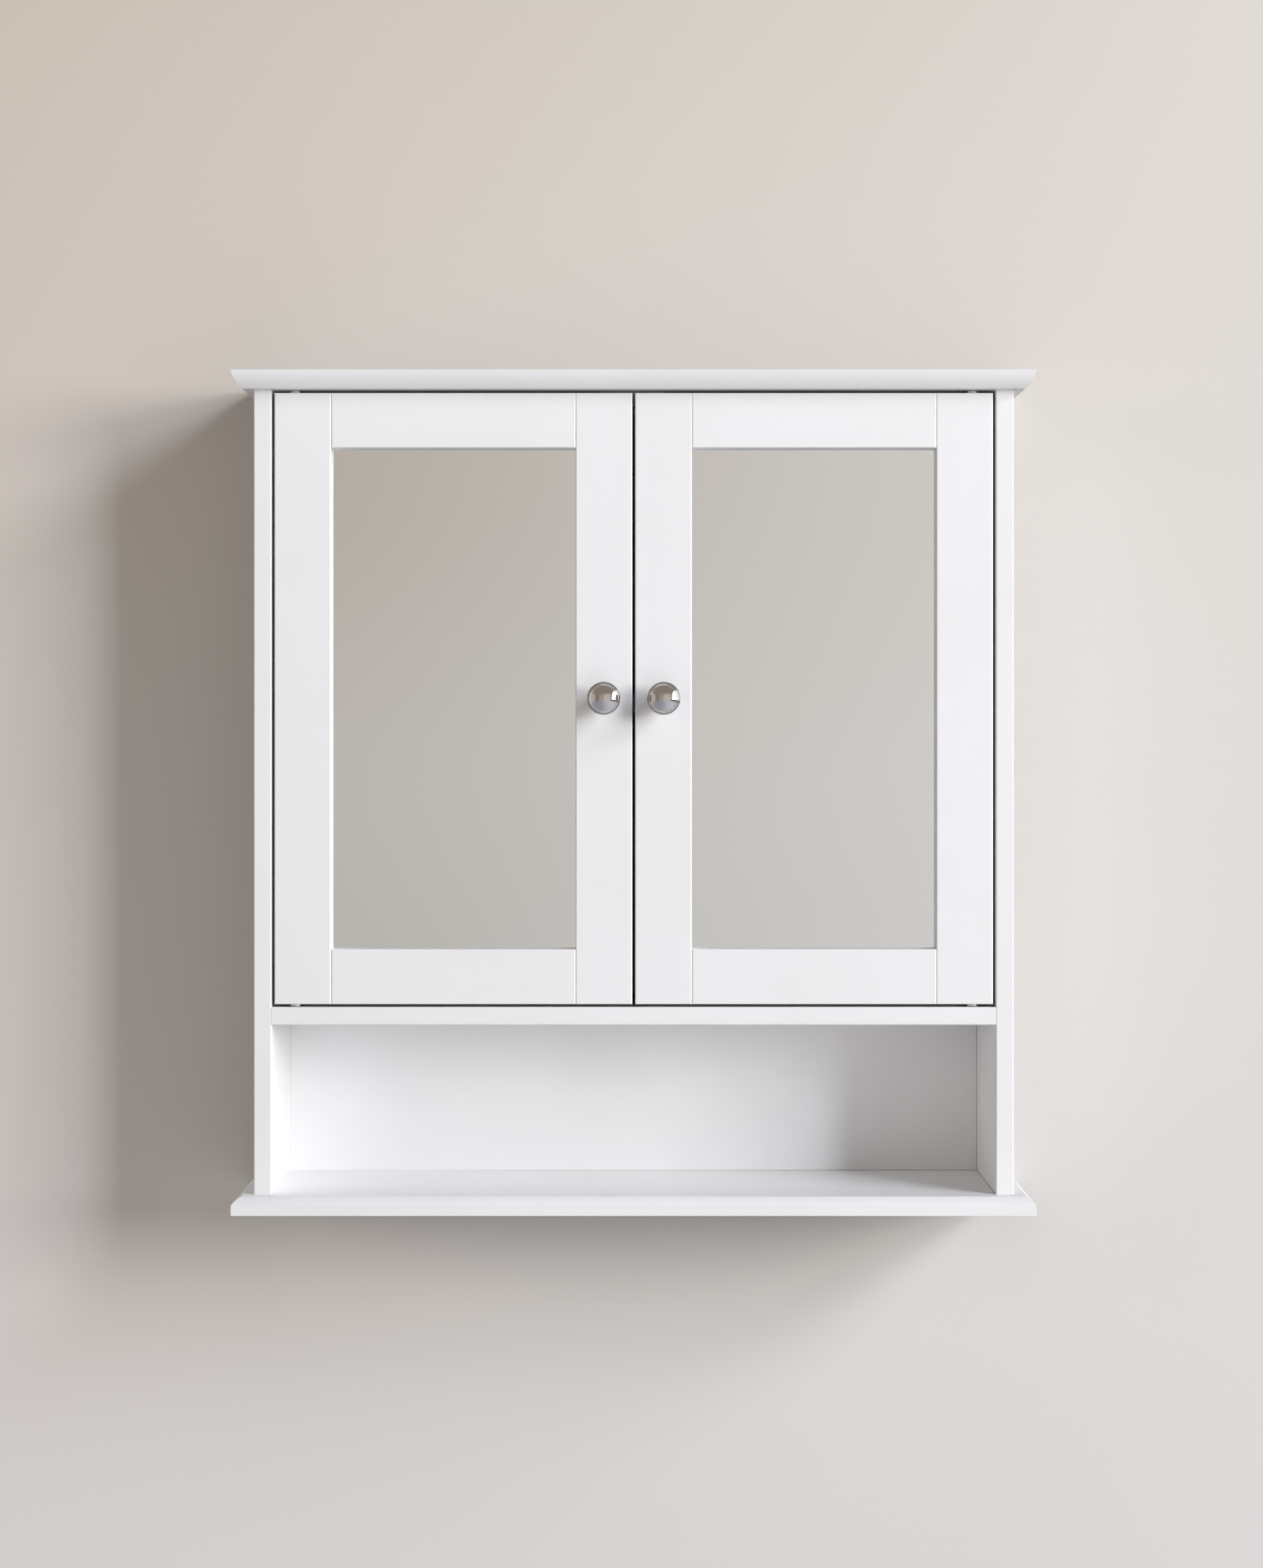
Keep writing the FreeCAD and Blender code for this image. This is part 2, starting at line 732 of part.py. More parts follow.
# Left door
def frame_member(label, low, high, cuts):
    """Return a bar of the door frame, given by its corners on the face, with the front edges eased."""
    body = new_body(label + "_blank")
    corners = [(low[0], low[1]), (high[0], low[1]), (high[0], high[1]), (low[0], high[1])]
    sketch = outline(body, label + "_face", "XZ_Plane", corners)
    bar = pad(body, sketch, "door_thickness", backwards=True)
    ease_front(body, bar)
    place(body, ("0", "door_front", "0"))
    return piece(cut(label, body, cuts))


def recess():
    """Return the recess for mirror and backing, cut into the frame from behind."""
    low = ("recess_left", "mirror_front", "recess_bottom")
    return box("mirror_recess", low, ("recess_right", "door_back", "recess_top"))


def frame_dowels():
    """Return the dowels of the four frame joints and the holes for them."""
    dowels = []
    holes = []
    for joint in ("opening_left", "opening_right"):
        for edge, sign in (("door_top", "-"), ("door_bottom", "+")):
            for step in (0, 1):
                height = "%s %s (door_dowel_first + %d * door_dowel_spacing)" % (edge, sign, step)
                centre = (joint, "door_core", height)
                start = moved(centre, LEFT, "door_dowel_length / 2")
                dowels.append(rod("dowel", start, RIGHT, "dowel_diameter", "door_dowel_length"))
                start = moved(start, LEFT, "fixing_slack")
                width = "dowel_diameter + 2 * fixing_slack"
                holes.append(rod("dowel_hole", start, RIGHT, width, "door_dowel_length + 2 * fixing_slack"))
    piece(group("left_door_frame_dowels", dowels))
    return holes


def mirror_clips():
    """Four plates that hold mirror and backing in the frame, their screws and the screws' holes."""
    plates = []
    spots = []
    sides = (("recess_left + clip_lap - clip_length", "+"), ("recess_right - clip_lap", "-"))
    for share in (1, 3):
        height = "door_bottom + door_height * %d / 4" % share
        for start, toward in sides:
            end = "%s + clip_length" % start
            low = (start, "door_back", "%s - clip_width / 2" % height)
            plates.append(box("clip", low, (end, "clip_back", "%s + clip_width / 2" % height)))
            outer = start if toward == "+" else end
            spots.append(("%s %s clip_width / 2" % (outer, toward), "clip_back", height))
    screws, holes = screws_and_holes(spots, FORWARD, SMALL_SCREW)
    piece(cut("left_door_mirror_clips", group("clip_plates", plates), holes))
    piece(group("left_door_clip_screws", screws))
    return holes


def strike():
    """Steel plate behind the knob stile that meets the catch, its screw and the screw's hole."""
    centre = ("0 - magnet_spacing / 2", "door_back + strike_thickness / 2", "strike_top - strike_height / 2")
    plate = block_about("strike_blank", centre, ("strike_width", "strike_thickness", "strike_height"))
    spot = (centre[0], "strike_back", centre[2])
    screws, holes = screws_and_holes([spot], FORWARD, SMALL_SCREW)
    piece(cut("left_door_strike_plate", plate, holes))
    screws[0].Label = "left_door_strike_screw"
    piece(screws[0])
    return holes


def knob():
    """Turned knob: base, neck and a ball with a shallow dome set inside its rim."""
    body = new_body("left_door_knob")
    corners = [
        ("knob_hole_half", "0"),
        ("knob_base_diameter / 2", "0"),
        ("knob_base_diameter / 2", "knob_base_height"),
        ("knob_neck_diameter / 2", "knob_base_height"),
        ("knob_neck_diameter / 2", "knob_neck_height"),
        ("knob_diameter / 2", "knob_rim_low"),
        ("knob_diameter / 2", "knob_rim_top"),
        ("knob_dome_half", "knob_crease"),
        ("0", "knob_projection"),
        ("0", "knob_hole_depth"),
        ("knob_hole_half", "knob_hole_depth"),
    ]
    arcs = {4: "knob_back_radius", 6: "knob_rim_rounding", 7: "knob_dome_radius"}
    sketch = outline(body, "knob_profile", "XY_Plane", corners, arcs)
    turning = body.newObject("PartDesign::Revolution", "knob_turning")
    turning.Profile = sketch
    turning.ReferenceAxis = (sketch, ["V_Axis"])
    turning.Angle = 360
    body.Placement = FreeCAD.Placement(FreeCAD.Vector(), FreeCAD.Rotation(FreeCAD.Vector(*UP), 180))
    place(body, ("knob_x", "door_front", "door_middle"))
    return piece(body)


def knob_screw():
    """Pan-headed screw from behind the stile into the knob, and its hole."""
    at = ("knob_x", "door_back", "door_middle")
    shank = rod("knob_shank", at, FORWARD, "knob_screw_diameter", "door_thickness + knob_screw_reach")
    seat = moved(at, FORWARD, "0 - knob_screw_head_height")
    head = rod("knob_screw_top", seat, FORWARD, "knob_screw_head", "knob_screw_head_height")
    drive = cross(seat, FORWARD, "knob_screw_head")
    piece(cut("left_door_knob_screw", fused("knob_screw_blank", shank, head), [drive]))
    width = "knob_screw_diameter + 2 * fixing_slack"
    return rod("knob_screw_hole", at, FORWARD, width, "door_thickness")


def glass_and_backing():
    """Mirror pane against the lip of the frame and the board that backs it."""
    low = ("recess_left + mirror_slack", "recess_bottom + mirror_slack")
    high = ("recess_right - mirror_slack", "recess_top - mirror_slack")
    for label, front, back in (
        ("left_door_mirror", "mirror_front", "mirror_back"),
        ("left_door_backing_board", "mirror_back", "door_back"),
    ):
        piece(box(label, (low[0], front, low[1]), (high[0], back, high[1])))


def left_door():
    """All the pieces of the left door. The right door is its twin."""
    first = len(pieces)
    dowel_holes = frame_dowels()
    clip_holes = mirror_clips()
    strike_holes = strike()
    pivot_holes = pivot_pins()
    knob_hole = knob_screw()
    space = recess()
    shared = [space] + dowel_holes
    low = ("door_left", "door_bottom")
    high = ("opening_left", "door_top")
    frame_member("left_door_hinge_stile", low, high, shared + clip_holes + pivot_holes)
    low = ("opening_right", "door_bottom")
    high = ("door_right", "door_top")
    frame_member("left_door_knob_stile", low, high, shared + clip_holes + strike_holes + [knob_hole])
    low = ("opening_left", "opening_top")
    high = ("opening_right", "door_top")
    frame_member("left_door_top_rail", low, high, shared)
    low = ("opening_left", "door_bottom")
    high = ("opening_right", "opening_bottom")
    frame_member("left_door_bottom_rail", low, high, shared)
    glass_and_backing()
    knob()
    for item in pieces[first:]:
        piece(mirrored(item.Label.replace("left", "right"), item))


def carcass():
    """All the pieces that hang still on the wall."""
    corners = corner_fixings()
    ends = end_fixings()
    back_screws, back_holes = back_fixings()
    rail_screws, rail_holes = rail_fixings()
    catch_screws, catch_holes = catch_fixings()
    upper_socket, lower_socket = bush_sockets()
    rebate = back_block("back_rebate_block", "fixing_slack")
    holes = wall_holes()
    top_holes = both_hands("top_holes", corners["top_holes"])
    bottom_holes = both_hands("bottom_holes", corners["bottom_holes"])
    upper_sockets = both_hands("upper_sockets", upper_socket)
    lower_sockets = both_hands("lower_sockets", lower_socket)
    shelf_holes = both_hands("shelf_holes", ends["shelf_holes"])
    rail_ends = both_hands("rail_ends", ends["rail_holes"])

    top_panel([rebate, top_holes, upper_sockets] + rail_holes + catch_holes + back_holes)
    bottom_panel([rebate, bottom_holes] + back_holes)
    corner_holes = [corners["top_holes"], corners["bottom_holes"]]
    end_holes = [ends["shelf_holes"], ends["rail_holes"]]
    side = left_side_panel([rebate] + corner_holes + end_holes + pin_holes() + back_holes)
    piece(mirrored("right_side_panel", side))
    middle_shelf([shelf_holes, lower_sockets] + back_holes)
    piece(cut("back_panel", back_block("back_blank", NO_SLACK), back_holes + holes))
    hanging_rail([rail_ends] + rail_holes + holes)

    used_row = pin_row_height((int(SIZES["pin_rows"]) - 1) // 2)
    shelf_pins(used_row)
    inner_shelf(used_row)
    pivot_bushes()
    catch(catch_holes)

    piece(group("top_panel_screws", [both_hands("top_screws", corners["top_screws"])] + rail_screws))
    piece(both_hands("bottom_panel_screws", corners["bottom_screws"]))
    piece(both_hands("corner_dowels", corners["dowels"]))
    piece(both_hands("middle_shelf_dowels", ends["shelf_dowels"]))
    piece(both_hands("hanging_rail_dowels", ends["rail_dowels"]))
    piece(group("back_panel_screws", back_screws))
    piece(group("catch_screws", catch_screws))


def write_pieces():
    """Check every object and write each sub-part to its own file."""
    doc.recompute()
    for item in doc.Objects:
        if "Invalid" in item.State or "Error" in item.State:
            raise RuntimeError(item.Label + " could not be worked out")
    for item in pieces:
        if item.Shape.isNull() or not item.Shape.isValid() or not item.Shape.Solids:
            raise RuntimeError(item.Label + " is not a sound solid")
    os.makedirs("parts", exist_ok=True)
    for item in pieces:
        item.Shape.exportStep("parts/%s.step" % item.Label)
        print(item.Label, len(item.Shape.Solids), round(item.Shape.Volume))


fill_sheet()
carcass()
left_door()
write_pieces()
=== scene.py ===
"""Bathroom mirror cabinet: turned chrome knobs, satin paint, mirrors, fittings and a plain studio."""

import math

import bpy
import numpy as np
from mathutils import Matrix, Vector


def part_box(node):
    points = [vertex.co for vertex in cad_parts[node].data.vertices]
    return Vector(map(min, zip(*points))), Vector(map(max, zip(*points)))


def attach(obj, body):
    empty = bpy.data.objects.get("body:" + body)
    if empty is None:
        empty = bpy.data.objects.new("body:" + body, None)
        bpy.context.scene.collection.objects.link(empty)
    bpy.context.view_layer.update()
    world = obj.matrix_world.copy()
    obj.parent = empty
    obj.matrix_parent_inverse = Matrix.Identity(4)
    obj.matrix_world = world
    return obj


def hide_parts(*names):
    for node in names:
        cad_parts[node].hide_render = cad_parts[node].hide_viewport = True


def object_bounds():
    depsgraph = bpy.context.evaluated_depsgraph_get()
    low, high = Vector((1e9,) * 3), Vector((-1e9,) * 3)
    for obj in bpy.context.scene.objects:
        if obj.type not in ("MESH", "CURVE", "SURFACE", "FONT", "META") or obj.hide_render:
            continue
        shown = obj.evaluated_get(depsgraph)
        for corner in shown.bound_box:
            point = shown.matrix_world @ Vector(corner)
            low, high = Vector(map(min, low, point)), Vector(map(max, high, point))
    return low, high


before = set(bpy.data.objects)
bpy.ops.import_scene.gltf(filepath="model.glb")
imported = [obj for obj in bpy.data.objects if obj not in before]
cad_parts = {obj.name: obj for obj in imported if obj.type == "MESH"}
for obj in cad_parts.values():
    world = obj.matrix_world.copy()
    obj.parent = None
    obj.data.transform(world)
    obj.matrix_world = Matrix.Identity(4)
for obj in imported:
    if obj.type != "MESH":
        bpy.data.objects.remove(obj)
CABINET_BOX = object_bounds()
KNOB_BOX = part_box("left_door_knob")
SHELF_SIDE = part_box("right_side_panel")[0].x
SHELF_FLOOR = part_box("bottom_panel")[1].z
SIDE_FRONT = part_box("right_side_panel")[0].y
MIRROR_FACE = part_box("left_door_mirror")[0].y

bl_info = {
    "name": "Bathroom mirror cabinet",
    "version": (1, 0, 0),
    "blender": (4, 5, 0),
    "location": "3D View > Sidebar > Cabinet",
    "description": "Finishes a wall cabinet with two mirror doors over an open shelf",
    "category": "Object",
}

HANDS = ("left", "right")
PAINTED_BOARDS = (
    "top_panel",
    "bottom_panel",
    "left_side_panel",
    "right_side_panel",
    "middle_shelf",
    "inner_shelf",
    "hanging_rail",
)
DOOR_BARS = ("hinge_stile", "knob_stile", "top_rail", "bottom_rail")
CARCASS_SCREWS = ("top_panel_screws", "bottom_panel_screws", "back_panel_screws", "catch_screws")
DOOR_STEEL = ("mirror_clips", "clip_screws", "strike_plate", "strike_screw", "pivot_pins", "knob_screw")
CARCASS_DOWELS = ("corner_dowels", "middle_shelf_dowels", "hanging_rail_dowels")

BLACK = (0.0, 0.0, 0.0)
# Painted shade along the open shelf's corner joints, stronger on its shaded right: colour, and distances
# from the corner at which it is full and ends
CORNER_SHADE_TONE = (0.45, 0.4, 0.36)
CORNER_SHADE_FULL = 0.0003
CORNER_SHADE_END = 0.0006
# Depths in the back board between which its inner coat gives way to bare fibre
BARE_FROM, BARE_TO = -0.0002, -0.0001
# Depths behind the mirror's face between which silver gives way to the cut edge
EDGE_FROM, EDGE_TO = 0.00002, 0.00006
# Radii of the knob between which the bright dome gives way to the rim's painted shade, a darker colour in
# place of the dark reflection there
RIM_SHADE_FROM, RIM_SHADE_TO = 0.01035, 0.0107

# Wall and floor of the studio: half width, height, gap behind the cabinet, front and rear end of the floor
STUDIO_HALF = 6.0
WALL_TOP = 4.0
WALL_GAP = 0.0005
FLOOR_FRONT, FLOOR_REAR = -8.0, 6.0
# Stretches of the wall over which its corner colours, painted light and shade, run into each other
WALL_LEFT, WALL_RIGHT = -0.9, 0.9
WALL_LOW, WALL_HIGH = -1.13, 0.63
# Painted shade: how much darker the wall is made beside the cabinet's lit side, against the light that side
# throws on it
WALL_PAINTED_SHADE = 0.14
# What the camera sees beyond wall and floor
SURROUND = (0.8, 0.785, 0.77)
CAMERA_SENSOR = 36.0
CAMERA_SHIFT = (-0.0014, -0.0336)
# Point at which the lamps aim
LAMP_AIM = Vector((0.0, -0.07, -0.25))

# Room that metal and mirrors show, left and right where there are two colours
ROOM_UPPER = ((0.47, 0.415, 0.36), (0.7, 0.67, 0.635))
ROOM_LOWER = ((0.485, 0.465, 0.44), (0.69, 0.68, 0.68))
ROOM_FLOOR = ((0.4, 0.42, 0.5), (0.74, 0.77, 0.88))
ROOM_EYE_LEVEL = (0.85, 0.82, 0.8)
ROOM_FAR_LEFT = (0.66, 0.62, 0.585)
ROOM_CORNER = (0.25, 0.215, 0.19)
ROOM_CEILING = (0.35, 0.305, 0.27)
WINDOW_FRAME = (0.12, 0.11, 0.11)
WINDOW_PANE = (2.6, 2.65, 2.75)

# Name, angles to the right, angles above the horizon, distance and colour of each lamp
LAMPS = (
    ("key lamp", (42, 49), (1, 23), 5.0, (0.27, 0.281, 0.3)),
    ("window lamp", (50, 66), (1, 15), 5.0, (0.35, 0.345, 0.33)),
    ("sky lamp", (45, 75), (23, 36), 9.0, (0.437, 0.46, 0.505)),
    ("left fill lamp", (-62, -36), (1, 22), 5.0, (0.07, 0.062, 0.05)),
    ("far left lamp", (-85, -61), (-14, 14), 5.0, (0.112, 0.108, 0.106)),
    ("front lamp", (-24, 24), (1, 22), 5.0, (0.036, 0.036, 0.039)),
    ("back lamp", (170, 215), (5, 45), 5.0, (0.5, 0.5, 0.5)),
)


# Properties
def length(name, description, default):
    """Return a length in metres that a user can change."""
    return bpy.props.FloatProperty(
        name=name, description=description, default=default, min=0.0, precision=5, unit="LENGTH"
    )


def share(name, description, default, most=1.0):
    """Return a plain number that a user can change."""
    return bpy.props.FloatProperty(
        name=name, description=description, default=default, min=0.0, max=most, precision=3
    )


def tint(name, description, default):
    """Return a colour that a user can change."""
    return bpy.props.FloatVectorProperty(
        name=name, description=description, default=default, size=3, min=0.0, max=1.0, subtype="COLOR"
    )


class KnobSizes(bpy.types.PropertyGroup):
    """Radii and heights of the turned knob, heights counted from the door's face."""

    rim_radius: length("Rim radius", "Half the knob's width", (KNOB_BOX[1].x - KNOB_BOX[0].x) / 2)
    tip_height: length("Tip height", "How far the knob stands out", KNOB_BOX[1].y - KNOB_BOX[0].y)
    base_radius: length("Base radius", "Radius of the foot on the door", 0.0065)
    base_height: length("Base height", "Thickness of the foot", 0.002)
    base_rounding: length("Base rounding", "Rounding of the foot's edges", 0.0005)
    neck_radius: length("Neck radius", "Radius of the neck", 0.0045)
    neck_cove: length("Neck cove", "Hollow between foot and neck", 0.0014)
    neck_height: length("Neck height", "Height at which the neck opens into the ball", 0.008)
    back_radius: length("Back radius", "Curve of the ball's back", 0.0087)
    rim_low: length("Rim start", "Height at which the rim begins", 0.0165)
    rim_top: length("Rim end", "Height at which the rim turns inwards", 0.0175)
    rim_rounding: length("Rim rounding", "Curve from the rim to the crease", 0.0024)
    crease_radius: length("Crease radius", "Radius of the crease round the dome", 0.0103)
    crease_height: length("Crease height", "Height of the crease", 0.0196)
    crease_width: length("Crease width", "Width of the fine hollow in the crease", 0.0003)


class PaintLook(bpy.types.PropertyGroup):
    """Satin paint on the boards and the door frames."""

    colour: tint("Colour", "Colour of the paint", (0.925, 0.919, 0.925))
    shade: tint("Shade", "Colour where the coat is a little thicker", (0.908, 0.902, 0.905))
    gloss_low: share("Smoothest", "Least roughness of the coat", 0.34)
    gloss_high: share("Roughest", "Most roughness of the coat", 0.46)
    peel_size: share("Spray grain", "Grains of spray in a metre", 1100.0, 5000.0)
    peel_depth: length("Spray depth", "Height of the spray grain", 0.00002)
    sag_depth: length("Flow depth", "Height of the slow waves in the coat", 0.00016)


class BoardLook(bpy.types.PropertyGroup):
    """Thin hardboard of the cabinet's back and behind the mirrors."""

    coat: tint("Coat", "White coat on the inner face of the back", (0.925, 0.919, 0.925))
    light_fibre: tint("Light fibre", "Paler fibres of the bare board", (0.43, 0.285, 0.17))
    dark_fibre: tint("Dark fibre", "Darker fibres of the bare board", (0.24, 0.145, 0.08))
    mesh_pitch: length("Screen pitch", "Pitch of the screen pressed into the rough face", 0.0018)


class MirrorLook(bpy.types.PropertyGroup):
    """Silvered glass."""

    silver: tint("Silver", "What the mirror keeps of the light", (0.9, 0.905, 0.9))
    edge: tint("Edge", "Green of the glass at the cut edge", (0.12, 0.2, 0.16))
    haze: share("Haze", "Roughness left by wiping", 0.035)


class MetalLook(bpy.types.PropertyGroup):
    """Chrome of the knobs and zinc-plated steel of the fittings."""

    chrome: tint("Chrome", "Colour of the polished knobs", (0.64, 0.605, 0.58))
    # Painted shade: the rim's darker colour stands in for the dark reflection it shows
    rim: tint("Rim", "Colour of the darker ring outside the crease", (0.3, 0.295, 0.295))
    chrome_roughness: share("Chrome roughness", "Roughness of the polish", 0.035)
    steel: tint("Steel", "Colour of the plated screws and plates", (0.76, 0.765, 0.775))
    steel_dull: tint("Dull steel", "Colour of the plating's darker crystals", (0.62, 0.63, 0.65))


class SmallPartsLook(bpy.types.PropertyGroup):
    """Dowels, bushes, shelf pins and catch."""

    beech: tint("Beech", "Pale wood of the dowels", (0.62, 0.43, 0.25))
    beech_ray: tint("Beech flecks", "Darker flecks in the wood", (0.42, 0.25, 0.12))
    nylon: tint("Nylon", "Bushes and shelf pins", (0.83, 0.83, 0.8))
    housing: tint("Housing", "Housing of the catch", (0.62, 0.62, 0.63))
    ferrite: tint("Ferrite", "Magnets of the catch", (0.045, 0.045, 0.05))


class StudioLook(bpy.types.PropertyGroup):
    """Wall, floor, lamps and camera."""

    # The four wall colours stand in for uneven light on the wall: painted light and shade, palest low on
    # the left and darkest high on the left
    wall_high_left: tint("Wall, upper left", "Colour of the upper left wall", (0.652, 0.567, 0.48))
    wall_high_right: tint("Wall, upper right", "Colour of the upper right wall", (0.722, 0.681, 0.63))
    wall_low_left: tint("Wall, lower left", "Colour of the lower left wall", (0.85, 0.811, 0.79))
    wall_low_right: tint("Wall, lower right", "Colour of the lower right wall", (0.745, 0.727, 0.707))
    floor: tint("Floor", "Colour of the floor", (0.74, 0.74, 0.75))
    floor_drop: length("Floor", "How far the floor lies below the cabinet", 1.25)
    light: share("Light", "Level of all lamps together", 1.035, 4.0)
    air_above: tint("Light from above", "Soft light from high up on the right", (0.085, 0.08, 0.075))
    air_below: tint("Light from below", "Soft light from the floor in front", (1.0, 0.975, 0.96))
    lens: bpy.props.FloatProperty(name="Lens", description="Focal length in millimetres", default=66.74)
    eye: bpy.props.FloatVectorProperty(
        name="Eye",
        description="Place of the camera",
        default=(0.0, -2.149, -0.2139),
        subtype="XYZ",
        unit="LENGTH",
    )


# Node trees
class Recipe:
    """Short calls that add nodes to a tree and join them."""

    def __init__(self, tree):
        self.tree = tree

    def join(self, value, socket):
        """Link a socket to another, or set its value."""
        if isinstance(value, bpy.types.NodeSocket):
            self.tree.links.new(value, socket)
        else:
            socket.default_value = value

    def add(self, kind, inputs=None, **settings):
        """Add a node, given its settings and its inputs by name or number."""
        node = self.tree.nodes.new(kind)
        for key, value in settings.items():
            setattr(node, key, value)
        for key, value in (inputs or {}).items():
            self.join(value, node.inputs[key])
        return node

    def noise(self, where, scale, detail=2.0, roughness=0.5, stretch=None):
        """Cloudy pattern with so many clouds in a metre, stretched along the axes if asked."""
        if stretch:
            where = self.add("ShaderNodeMapping", {"Vector": where, "Scale": stretch}).outputs[0]
        inputs = {"Vector": where, "Scale": scale, "Detail": detail, "Roughness": roughness}
        return self.add("ShaderNodeTexNoise", inputs).outputs[0]

    def ramp(self, value, low, high, first=0.0, last=1.0):
        """Run smoothly from first to last while the value runs from low to high."""
        inputs = {0: value, 1: low, 2: high, 3: first, 4: last}
        return self.add("ShaderNodeMapRange", inputs, interpolation_type="SMOOTHSTEP").outputs[0]

    def mix(self, factor, first, second):
        """Mix two colours."""
        inputs = {0: factor, 6: opaque(first), 7: opaque(second)}
        return self.add("ShaderNodeMix", inputs, data_type="RGBA").outputs[2]

    def math(self, operation, first, second=0.0):
        """Work out one number from two."""
        return self.add("ShaderNodeMath", {0: first, 1: second}, operation=operation).outputs[0]

    def bump(self, height, distance, strength=1.0, below=None):
        """Raise the surface by a pattern, on top of another bump if there is one."""
        inputs = {"Height": height, "Distance": distance, "Strength": strength}
        if below:
            inputs["Normal"] = below
        return self.add("ShaderNodeBump", inputs).outputs[0]

    def split(self, vector):
        """Return the three parts of a vector."""
        return self.add("ShaderNodeSeparateXYZ", {0: vector}).outputs


class Finish(Recipe):
    """A material with one surface shader that reads the piece's own coordinates."""

    def __init__(self, name):
        self.material = bpy.data.materials.new(name)
        self.material.use_nodes = True
        super().__init__(self.material.node_tree)
        self.shader = self.tree.nodes["Principled BSDF"]
        self.where = self.add("ShaderNodeTexCoord").outputs["Object"]

    def surface(self, **values):
        """Set the shader's sockets, named with underscores for spaces."""
        for key, value in values.items():
            self.join(value, self.shader.inputs[key.replace("_", " ").title().replace("Ior", "IOR")])
        return self.material


def opaque(colour):
    """Return a colour with full cover, or the socket as it is."""
    if isinstance(colour, bpy.types.NodeSocket):
        return colour
    return (*colour, 1.0)


# Finishes
def corner_shade_shares(finish, across, up):
    """Shares of painted shade in fine lines beside the open shelf's sides and along its floor, fainter on
    the lit left.
    """
    beside = finish.math("ABSOLUTE", finish.math("SUBTRACT", finish.math("ABSOLUTE", across), SHELF_SIDE))
    above = finish.math("ABSOLUTE", finish.math("SUBTRACT", up, SHELF_FLOOR))
    most = finish.ramp(across, -SHELF_SIDE, SHELF_SIDE, 0.2, 0.9)
    return [finish.ramp(far, CORNER_SHADE_END, CORNER_SHADE_FULL, 0.0, most) for far in (beside, above)]


def satin_paint(look):
    """Sprayed satin paint: fine spray grain on slow waves, a trace of colour drift, painted shade in the
    open shelf's corner joints.
    """
    finish = Finish("satin white paint")
    across, depth, up = finish.split(finish.where)
    beside, above = corner_shade_shares(finish, across, up)
    inside = finish.ramp(depth, SIDE_FRONT, SIDE_FRONT + 0.001)
    # Painted shade along the foot of the open shelf's sides, behind their front edge
    corner_shade = finish.math("MULTIPLY", finish.math("MINIMUM", beside, above), inside)
    drift = finish.noise(finish.where, 7.0, 3.0)
    grain = finish.noise(finish.where, look.peel_size, 1.5)
    waves = finish.noise(finish.where, 95.0, 1.0)
    patches = finish.noise(finish.where, 160.0, 2.0)
    relief = finish.bump(waves, look.sag_depth, 0.35)
    relief = finish.bump(grain, look.peel_depth, 0.6, relief)
    coat = finish.mix(finish.ramp(drift, 0.4, 0.62), look.colour, look.shade)
    return finish.surface(
        base_color=finish.mix(corner_shade, coat, CORNER_SHADE_TONE),
        roughness=finish.ramp(patches, 0.35, 0.65, look.gloss_low, look.gloss_high),
        normal=relief,
    )


def bare_hardboard(finish, look):
    """Return colour and height of pressed wood fibre with the print of a screen."""
    clumps = finish.noise(finish.where, 260.0, 4.0, 0.65)
    hairs = finish.noise(finish.where, 900.0, 3.0, 0.7, (1.0, 1.0, 0.22))
    spread = finish.ramp(finish.mix(0.5, clumps, hairs), 0.36, 0.64)
    colour = finish.mix(spread, look.light_fibre, look.dark_fibre)
    step = math.tau / look.mesh_pitch / 20.0
    across = finish.add("ShaderNodeTexWave", {"Vector": finish.where, "Scale": step}, bands_direction="X")
    upright = finish.add("ShaderNodeTexWave", {"Vector": finish.where, "Scale": step}, bands_direction="Z")
    screen = finish.math("MULTIPLY", across.outputs[1], upright.outputs[1])
    height = finish.math("ADD", screen, finish.math("MULTIPLY", hairs, 0.6))
    return colour, height


def coated_hardboard(look):
    """Hardboard of the back: a white roller coat inside, bare screened fibre towards the wall."""
    finish = Finish("white coated hardboard")
    across, depth, up = finish.split(finish.where)
    bare = finish.ramp(depth, BARE_FROM, BARE_TO)
    fibre, height = bare_hardboard(finish, look)
    drift = finish.noise(finish.where, 9.0, 3.0)
    roller = finish.noise(finish.where, 700.0, 2.0, 0.5, (1.0, 1.0, 0.4))
    shaded = tuple(0.975 * part for part in look.coat)
    coat = finish.mix(finish.ramp(drift, 0.4, 0.62), look.coat, shaded)
    # Painted shade along the corners where the open shelf's sides and floor meet the back
    beside, above = corner_shade_shares(finish, across, up)
    coat = finish.mix(finish.math("MAXIMUM", beside, above), coat, CORNER_SHADE_TONE)
    relief = finish.bump(roller, 0.00003, 0.6)
    return finish.surface(
        base_color=finish.mix(bare, coat, fibre),
        roughness=finish.ramp(bare, 0.0, 1.0, 0.46, 0.85),
        normal=finish.bump(height, 0.0002, bare, relief),
    )


def brown_hardboard(look):
    """Bare hardboard behind the mirrors."""
    finish = Finish("bare brown hardboard")
    colour, height = bare_hardboard(finish, look)
    dusty = finish.noise(finish.where, 120.0, 2.0)
    return finish.surface(
        base_color=colour,
        roughness=finish.ramp(dusty, 0.3, 0.7, 0.78, 0.92),
        normal=finish.bump(height, 0.0002, 0.8),
    )


